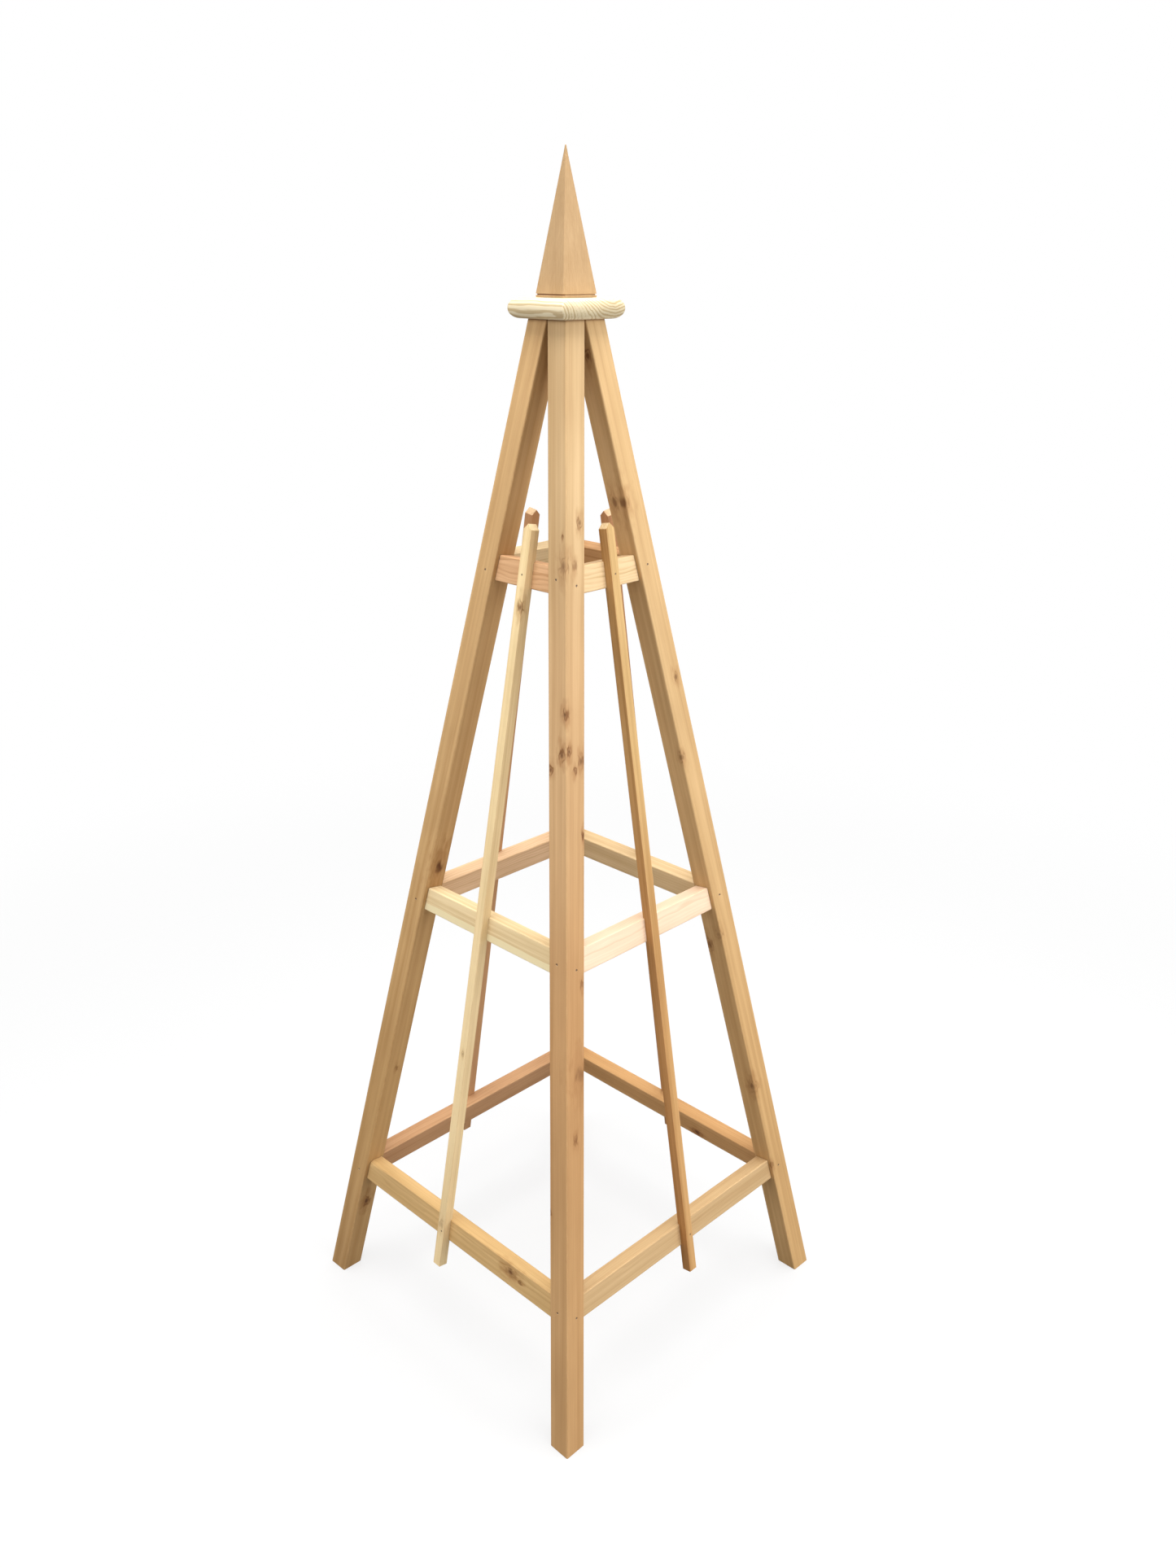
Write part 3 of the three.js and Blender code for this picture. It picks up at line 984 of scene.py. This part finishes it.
for side in range(4):
    plane = side_frame(side)
    outward = -plane.col[1].to_3d()
    right = plane.col[0].to_3d()
    notch = slat_room(side)
    for tier in TIERS:
        rail = rails[tier, side]
        name = tier + "_" + SIDES[side]
        rooms.setdefault(rail, []).append(notch)
        fasten("rail_nail_" + name + "_right", right, (rail, legs[side]))
        fasten("rail_nail_" + name + "_left", -right, (rail, legs[(side + 3) % 4]))
        if tier != "middle":
            fasten("slat_brad_" + name, outward, (rail, slats[side]))
    fasten("collar_screw_" + CORNERS[side], Vector((0, 0, 1)), (collar, legs[side]))
fasten("finial_dowel_screw", Vector((0, 0, 1)), (collar, finial))

for piece, cutters in rooms.items():
    cut(piece, cutters)
for cutter in {room for cutters in rooms.values() for room in cutters}:
    bpy.data.objects.remove(cutter)


# ---- Woods ------------------------------------------------------------------------------------

def section_of(width, height, ease):
    """Half width, half height and edge radius of a bar, in mm."""
    return width / 2 / MM, height / 2 / MM, ease / MM


def grain_direction(piece):
    return piece.matrix_world.col[0].to_3d()


def leg_wood(number, leg):
    corner = CORNERS[number]
    # The legs' painted shadow under the collar reaches 4 mm down from their tops.
    return cedar("cedar_" + leg.name, LEG_TONES_AND_LIGHT[corner], grain_direction(leg),
                 section_of(LEG_SIDE, LEG_SIDE, LEG_EASE), knots=LEG_KNOTS[corner],
                 pith=(0, -70 + 25 * number, 95), spacing=3.4, seed=1.0 + number,
                 figured=LEG_FIGURE, seam_shadow_mm=4.0)


def rail_wood(tier, side, rail):
    name = tier + "_" + SIDES[side]
    return cedar("cedar_" + rail.name, ((0, RAIL_TONES[name]),), grain_direction(rail),
                 section_of(RAIL_THICKNESS, RAIL_HEIGHT, RAIL_EASE), knots=RAIL_KNOTS.get(name, ()),
                 pith=(0, 60, 40 + 12 * side), spacing=3.6, waver=14.0,
                 seed=10.0 + 4 * TIERS.index(tier) + side,
                 figured=RAIL_FIGURE.get(name, PLAIN_RAIL),
                 marks=sapwood_band if name == "middle_front" else None)


def slat_wood(side, slat):
    name = SIDES[side]
    return cedar("cedar_" + slat.name, SLAT_TONES[name], grain_direction(slat),
                 section_of(SLAT_SIDE, SLAT_SIDE, SLAT_EASE), knots=SLAT_KNOTS[name],
                 pith=(0, 50, 70), spacing=2.8, seed=30.0 + side,
                 figured=SLAT_FIGURE.get(name, PLAIN_SLAT),
                 marks=darker_left_side if name == "right" else None)


UNWORN = (400, 400, 1)  # a section so wide that none of the piece counts as a worn edge


def collar_wood():
    return cedar("pine_collar", ((0, COLLAR_TONE),), (1, 0, 0), UNWORN, pith=(0, 40, 55),
                 spacing=4.4, waver=12.0, seed=40.0, figured=COLLAR_FIGURE, sawn=COLLAR_SAWN)


def finial_wood():
    return cedar("cedar_finial", ((0, FINIAL_TONE),), (0, 0, 1), UNWORN, pith=(0, 90, 80),
                 spacing=2.2, waver=5.0, seed=41.0, figured=FINIAL_FIGURE, marks=paint_groove_shadow)


for number, leg in enumerate(legs):
    finish_piece(leg, leg["node"], leg_wood(number, leg), ends=butts[leg["node"]])
for (tier, side), rail in rails.items():
    wood = rail_wood(tier, side, rail)
    finish_piece(rail, rail["node"], wood, ends=butts[rail["node"]])
for side, slat in enumerate(slats):
    finish_piece(slat, slat["node"], slat_wood(side, slat))
finish_piece(collar, "collar", collar_wood())
finish_piece(finial, "finial", finial_wood(), order=(2, 0, 1))
nail_steel = steel()
for made in fasteners:
    finish_piece(made, made["node"], nail_steel)

# ---- Floor, light and camera ------------------------------------------------------------------

FLOOR_RADIUS = 3.0
FLOOR_FADE = (0.9, 2.8)  # distances over which the floor melts into the white round it
FLOOR_COLOUR = (0.2, 0.2, 0.2, 1)
FLOOR_GLOW = 0.70  # seen by the camera only, so that the floor is pale and its shadows are faint
SKY = 0.56
SKY_SEEN = 1.0


def build_floor():
    mesh = bmesh.new()
    bmesh.ops.create_circle(mesh, cap_ends=True, segments=96, radius=FLOOR_RADIUS)
    floor = object_of("floor", mesh, Matrix.Identity(4))
    material, graph = new_material("floor")
    place = graph.add("ShaderNodeTexCoord").outputs["Object"]
    fade = graph.step(graph.vector("LENGTH", place), *FLOOR_FADE)
    paper = graph.add("ShaderNodeBsdfDiffuse", {"Color": FLOOR_COLOUR})
    seen = graph.add("ShaderNodeLightPath").outputs["Is Camera Ray"]
    fade = graph.math("MULTIPLY", fade, seen)
    glow = graph.add("ShaderNodeEmission", {"Strength": graph.math("MULTIPLY", seen, FLOOR_GLOW)})
    pale = graph.add("ShaderNodeAddShader")
    graph.feed(pale.inputs[0], paper.outputs[0])
    graph.feed(pale.inputs[1], glow.outputs[0])
    clear = graph.add("ShaderNodeBsdfTransparent")
    surface = graph.add("ShaderNodeMixShader", {"Fac": fade})
    graph.feed(surface.inputs[1], pale.outputs[0])
    graph.feed(surface.inputs[2], clear.outputs[0])
    show(graph, surface.outputs[0])
    floor.data.materials.append(material)


def build_sky():
    world = bpy.data.worlds.new("studio")
    bpy.context.scene.world = world
    world.use_nodes = True
    world.node_tree.nodes.clear()
    graph = Graph(world.node_tree)
    seen = graph.add("ShaderNodeLightPath").outputs["Is Camera Ray"]
    strength = graph.math("MULTIPLY_ADD", seen, SKY_SEEN - SKY, SKY)
    sky = graph.add("ShaderNodeBackground", {"Color": (1, 1, 1, 1), "Strength": strength})
    out = graph.add("ShaderNodeOutputWorld")
    graph.feed(out.inputs["Surface"], sky.outputs[0])


# Square lights: place, the point they aim at, side in metres and power in watts.
LIGHTS = {
    "overhead": ((0, 0, 3.4), (0, 0, 0.9), 2.4, 102),
    "overhead_right": ((1.6, 0, 3.1), (0, 0, 0.9), 1.6, 8),
    "overhead_back": ((0, 1.6, 3.1), (0, 0, 0.9), 1.6, 15),
    "right": ((2.74, 0.58, 1.1), (0, 0, 0.8), 2.2, 45),
    "right_high": ((2.3, 0.5, 2.4), (0, 0, 0.9), 1.5, 5),
    "front": ((-0.58, -2.74, 2.2), (0, 0, 1.0), 2.2, 35),
}


def softbox(name, place, aim, size, power):
    data = bpy.data.lights.new(name, "AREA")
    data.shape = "SQUARE"
    data.size = size
    data.energy = power
    lamp = bpy.data.objects.new(name, data)
    lamp.location = place
    lamp.rotation_euler = (Vector(aim) - Vector(place)).to_track_quat("-Z", "Y").to_euler()
    bpy.context.scene.collection.objects.link(lamp)


CAMERA_AZIMUTH = math.radians(45.656)
CAMERA_DISTANCE = 1.9238
CAMERA_HEIGHT = 1.6852
CAMERA_YAW = math.radians(0.930)
CAMERA_PITCH = math.radians(21.479)
CAMERA_ROLL = math.radians(0.132)
CAMERA_LENS = 30.46
CAMERA_SENSOR = 36


def build_camera():
    data = bpy.data.cameras.new("camera")
    data.lens = CAMERA_LENS
    data.sensor_width = CAMERA_SENSOR
    camera = bpy.data.objects.new("camera", data)
    out = Vector((math.sin(CAMERA_AZIMUTH), -math.cos(CAMERA_AZIMUTH), 0))
    place = out * CAMERA_DISTANCE + Vector((0, 0, CAMERA_HEIGHT))
    turn = Matrix.Rotation(CAMERA_AZIMUTH - CAMERA_YAW, 4, "Z")
    tilt = Matrix.Rotation(QUARTER - CAMERA_PITCH, 4, "X")
    roll = Matrix.Rotation(CAMERA_ROLL, 4, "Z")
    camera.matrix_world = Matrix.Translation(place) @ turn @ tilt @ roll
    bpy.context.scene.collection.objects.link(camera)
    bpy.context.scene.camera = camera


build_floor()
build_sky()
for name, (place, aim, size, power) in LIGHTS.items():
    softbox(name, place, aim, size, power)
build_camera()
bpy.context.scene.view_settings.view_transform = "Standard"
